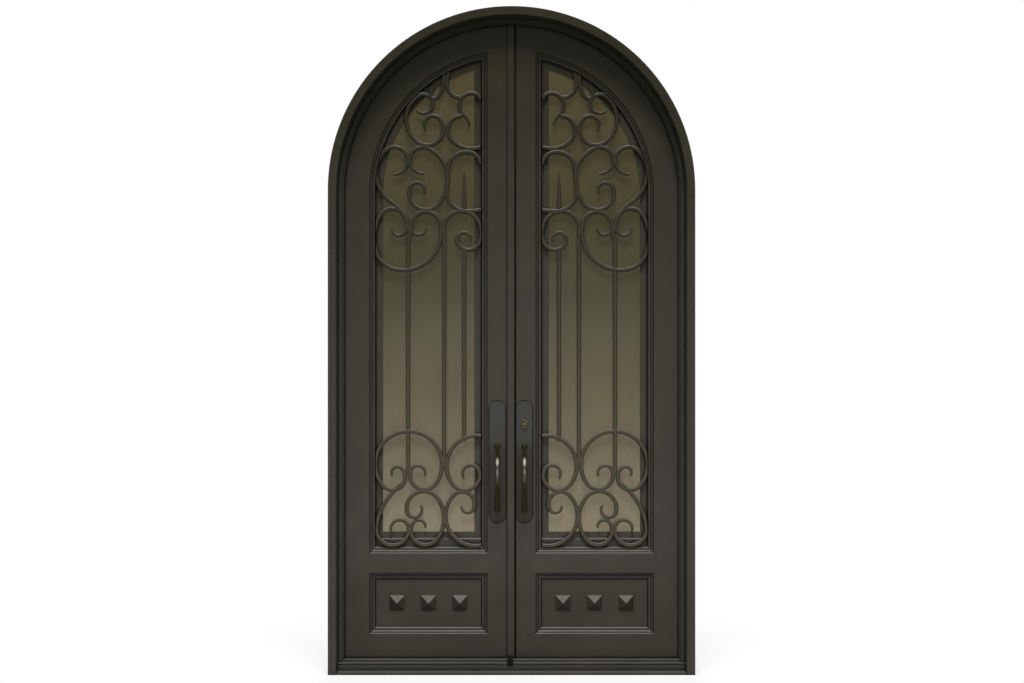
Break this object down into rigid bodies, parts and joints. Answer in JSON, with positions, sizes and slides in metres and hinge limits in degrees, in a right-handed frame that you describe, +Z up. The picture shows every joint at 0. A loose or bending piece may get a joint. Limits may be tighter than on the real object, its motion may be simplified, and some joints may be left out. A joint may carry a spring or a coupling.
{
  "type": "round-top double entry door",
  "caption": "Round-top double entry door of welded iron: frame with sill, two hinged leaves with forged scroll grilles over framed glass, studded lower panels and pull handles.",
  "frame": {"origin": "underside of the sill, in the middle of the frame's width and depth", "axes": "+Z up, -Y towards the street, +X to the right for someone facing the door from the street"},
  "size_m": [1.56, 0.2175, 2.8398],
  "materials": {
    "frame_paint": "dark bronze baked paint, satin",
    "leaf_paint": "dark bronze baked paint, satin",
    "forged_paint": "dark bronze paint over forged bar, lightly hammered",
    "glass": "obscure tinted insulated glass",
    "plate_bronze": "oil-rubbed bronze, satin",
    "pull_bronze": "oil-rubbed bronze, polished by use",
    "lock_bronze": "antique bronze, satin",
    "hinge_steel": "dark bronze paint over steel barrels"
  },
  "bodies": {
    "frame": {"jamb_left": "frame_paint", "jamb_right": "frame_paint", "head_arch": "frame_paint", "sill": "frame_paint", "stops_jambs": "frame_paint", "stop_arch": "frame_paint", "centre_stop": "frame_paint", "hinges_frame_left": "hinge_steel", "hinges_frame_right": "hinge_steel"},
    "leaf_left": {"stile_hinge_left": "leaf_paint", "stile_meeting_left": "leaf_paint", "rail_arch_left": "leaf_paint", "rail_mid_left": "leaf_paint", "rail_bottom_left": "leaf_paint", "panel_left": "leaf_paint", "panel_mouldings_left": "leaf_paint", "studs_left": "forged_paint", "light_moulding_left": "leaf_paint", "glass_frame_left": "leaf_paint", "glass_left": "glass", "grille_bars_left": "forged_paint", "scrollwork_top_left": "forged_paint", "scrollwork_low_left": "forged_paint", "handle_plates_left": "plate_bronze", "pulls_left": "pull_bronze", "hinges_leaf_left": "hinge_steel", "astragal": "leaf_paint"},
    "leaf_right": {"stile_hinge_right": "leaf_paint", "stile_meeting_right": "leaf_paint", "rail_arch_right": "leaf_paint", "rail_mid_right": "leaf_paint", "rail_bottom_right": "leaf_paint", "panel_right": "leaf_paint", "panel_mouldings_right": "leaf_paint", "studs_right": "forged_paint", "light_moulding_right": "leaf_paint", "glass_frame_right": "leaf_paint", "glass_right": "glass", "grille_bars_right": "forged_paint", "scrollwork_top_right": "forged_paint", "scrollwork_low_right": "forged_paint", "handle_plates_right": "plate_bronze", "pulls_right": "pull_bronze", "hinges_leaf_right": "hinge_steel", "deadbolt": "lock_bronze"}
  },
  "joints": [
    {"name": "leaf_left_swing", "type": "hinge", "parent": "frame", "child": "leaf_left", "pos_m": [-0.7305, 0.087, 0], "axis": [0, 0, 1], "range_deg": [0, 100]},
    {"name": "leaf_right_swing", "type": "hinge", "parent": "frame", "child": "leaf_right", "pos_m": [0.7305, 0.087, 0], "axis": [0, 0, -1], "range_deg": [0, 100]}
  ]
}
